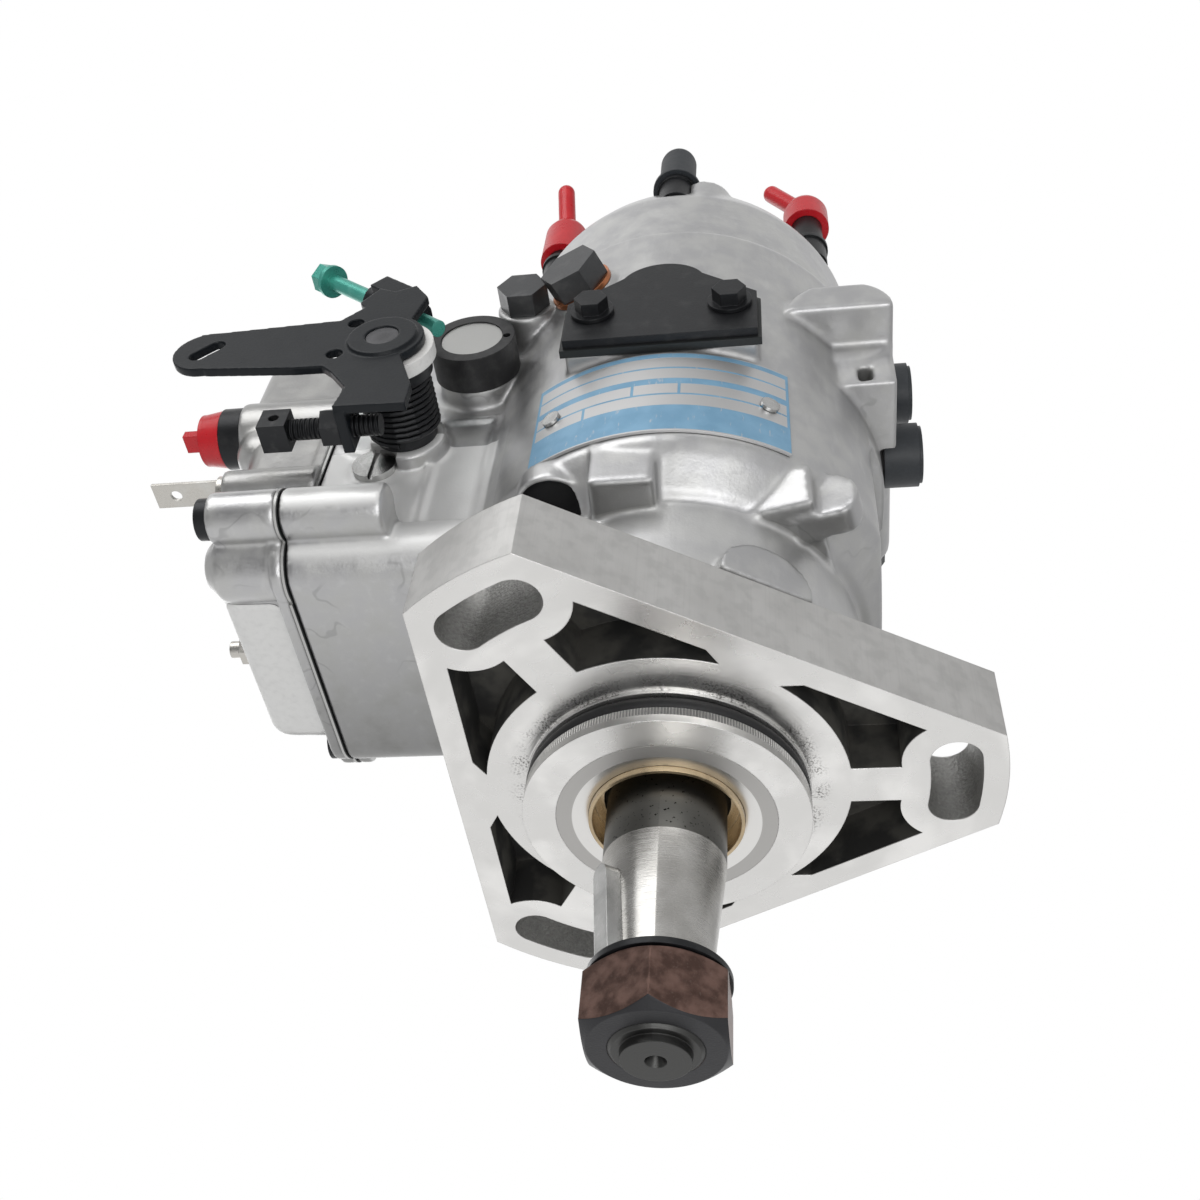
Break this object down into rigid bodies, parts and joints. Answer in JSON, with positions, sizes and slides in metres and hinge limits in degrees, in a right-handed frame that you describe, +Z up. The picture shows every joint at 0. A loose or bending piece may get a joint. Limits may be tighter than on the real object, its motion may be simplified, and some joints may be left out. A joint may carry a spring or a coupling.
{
  "type": "diesel injection pump",
  "caption": "Rotary diesel injection pump: triangular slotted flange, keyed tapered shaft, round body, governor housing with cover, throttle lever and rear fuel outlets.",
  "frame": {"origin": "shaft axis at the engine side face of the mounting flange", "axes": "+Y runs back along the shaft to the fuel outlets, +Z up to the governor cover, +X to the throttle side"},
  "size_m": [0.1502, 0.3407, 0.2315],
  "materials": {
    "cast_aluminium": "satin",
    "bright_steel": "satin",
    "inner_steel": "satin",
    "black_steel": "satin",
    "brown_steel": "satin",
    "zinc_steel": "satin",
    "green_zinc": "satin",
    "red_plastic": "satin",
    "black_plastic": "satin",
    "rubber": "matte",
    "bronze": "satin",
    "copper": "satin",
    "blue_plate": "satin",
    "white_nylon": "satin"
  },
  "bodies": {
    "housing": {"mounting_flange": "cast_aluminium", "pump_housing": "cast_aluminium", "pilot_oring": "rubber", "front_seal": "bright_steel", "shaft_bushings": "bronze", "hydraulic_head": "cast_aluminium", "pump_liner": "inner_steel", "end_cap": "cast_aluminium", "end_cap_screws": "black_steel", "regulator_plug": "zinc_steel", "inlet_fitting": "black_steel", "outlet_fittings": "black_steel", "outlet_caps": "red_plastic", "outlet_cap_black": "black_plastic", "advance_plug": "black_steel", "governor_cover": "cast_aluminium", "gaskets": "rubber", "cover_screws": "black_steel", "cover_terminals": "zinc_steel", "return_fitting": "black_steel", "return_cap": "red_plastic", "shutoff_solenoid": "inner_steel", "timing_cover": "black_steel", "timing_cover_bolts": "black_steel", "name_plate": "blue_plate", "name_plate_rivets": "bright_steel", "hex_plugs": "black_steel", "copper_washer": "copper", "arm_pivot_shaft": "bright_steel", "underside_caps": "black_plastic", "side_cap": "black_plastic", "lever_spring": "black_steel"},
    "shaft": {"drive_shaft": "bright_steel", "shaft_key": "bright_steel", "drive_nut": "brown_steel", "lock_washer": "black_steel", "weight_cage": "inner_steel", "rotor": "inner_steel", "pump_blades": "inner_steel"},
    "weight_1": {"governor_weight_1": "inner_steel"},
    "weight_2": {"governor_weight_2": "inner_steel"},
    "weight_3": {"governor_weight_3": "inner_steel"},
    "weight_4": {"governor_weight_4": "inner_steel"},
    "sleeve": {"thrust_sleeve": "inner_steel"},
    "plunger_out_1": {"plunger_set_1": "inner_steel"},
    "plunger_out_2": {"plunger_set_2": "inner_steel"},
    "cam": {"cam_ring": "inner_steel", "advance_pin": "inner_steel"},
    "piston": {"advance_piston": "bright_steel"},
    "valve": {"metering_valve": "bright_steel"},
    "arm": {"governor_arm": "inner_steel", "governor_spring": "inner_steel"},
    "link": {"governor_link": "bright_steel"},
    "shutoff": {"shutoff_arm": "inner_steel"},
    "throttle": {"throttle_shaft": "bright_steel", "throttle_lever": "black_steel", "lever_sleeve": "black_plastic", "nylon_washer": "white_nylon", "idle_screw": "black_steel", "stop_screw": "green_zinc"}
  },
  "joints": [
    {"name": "shaft_spin", "type": "hinge", "parent": "housing", "child": "shaft", "pos_m": [0, 0, 0], "axis": [0, 1, 0], "continuous": true},
    {"name": "sleeve_slide", "type": "slide", "parent": "shaft", "child": "sleeve", "axis": [0, 1, 0], "range_m": [-0.004, 0]},
    {"name": "weight_1_swing", "type": "hinge", "parent": "shaft", "child": "weight_1", "pos_m": [0.034, 0.117, 0], "axis": [0, 0, 1], "range_deg": [0, 15.1]},
    {"name": "weight_2_swing", "type": "hinge", "parent": "shaft", "child": "weight_2", "pos_m": [0, 0.117, -0.034], "axis": [1, 0, 0], "range_deg": [0, 15.1]},
    {"name": "weight_3_swing", "type": "hinge", "parent": "shaft", "child": "weight_3", "pos_m": [-0.034, 0.117, 0], "axis": [0, 0, -1], "range_deg": [0, 15.1]},
    {"name": "weight_4_swing", "type": "hinge", "parent": "shaft", "child": "weight_4", "pos_m": [0, 0.117, 0.034], "axis": [-1, 0, 0], "range_deg": [0, 15.1]},
    {"name": "arm_swing", "type": "hinge", "parent": "housing", "child": "arm", "pos_m": [0, 0.0906, 0.082], "axis": [1, 0, 0], "range_deg": [-3.5, 0]},
    {"name": "link_slide", "type": "slide", "parent": "housing", "child": "link", "axis": [0, 1, 0], "range_m": [-0.0017, 0]},
    {"name": "valve_turn", "type": "hinge", "parent": "housing", "child": "valve", "pos_m": [0, 0.16, 0.04], "axis": [0, 0, 1], "range_deg": [-16.5, 0]},
    {"name": "plunger_1_slide", "type": "slide", "parent": "shaft", "child": "plunger_out_1", "axis": [1, 0, 0], "range_m": [0, 0.0015]},
    {"name": "plunger_2_slide", "type": "slide", "parent": "shaft", "child": "plunger_out_2", "axis": [-1, 0, 0], "range_m": [0, 0.0015]},
    {"name": "cam_turn", "type": "hinge", "parent": "housing", "child": "cam", "pos_m": [0, 0.139, 0], "axis": [0, 1, 0], "range_deg": [-5, 5]},
    {"name": "piston_slide", "type": "slide", "parent": "housing", "child": "piston", "axis": [1, 0, 0], "range_m": [-0.0044, 0.0044]},
    {"name": "throttle_turn", "type": "hinge", "parent": "housing", "child": "throttle", "pos_m": [0.0685, 0.1, 0.0735], "axis": [-1, 0, 0], "range_deg": [0, 30]},
    {"name": "shutoff_swing", "type": "hinge", "parent": "housing", "child": "shutoff", "pos_m": [0, 0.125, 0.1045], "axis": [1, 0, 0], "range_deg": [0, 8]}
  ],
  "couplings": [
    {"joint": "weight_1_swing", "follows": "sleeve_slide", "rad_per_m": -65.36},
    {"joint": "weight_2_swing", "follows": "sleeve_slide", "rad_per_m": -65.36},
    {"joint": "weight_3_swing", "follows": "sleeve_slide", "rad_per_m": -65.36},
    {"joint": "weight_4_swing", "follows": "sleeve_slide", "rad_per_m": -65.36},
    {"joint": "arm_swing", "follows": "sleeve_slide", "rad_per_m": 14.7},
    {"joint": "link_slide", "follows": "sleeve_slide", "ratio": 0.4118},
    {"joint": "valve_turn", "follows": "sleeve_slide", "rad_per_m": 68.6},
    {"joint": "plunger_2_slide", "follows": "plunger_1_slide", "ratio": 1},
    {"joint": "piston_slide", "follows": "cam_turn", "m_per_rad": -0.05}
  ]
}
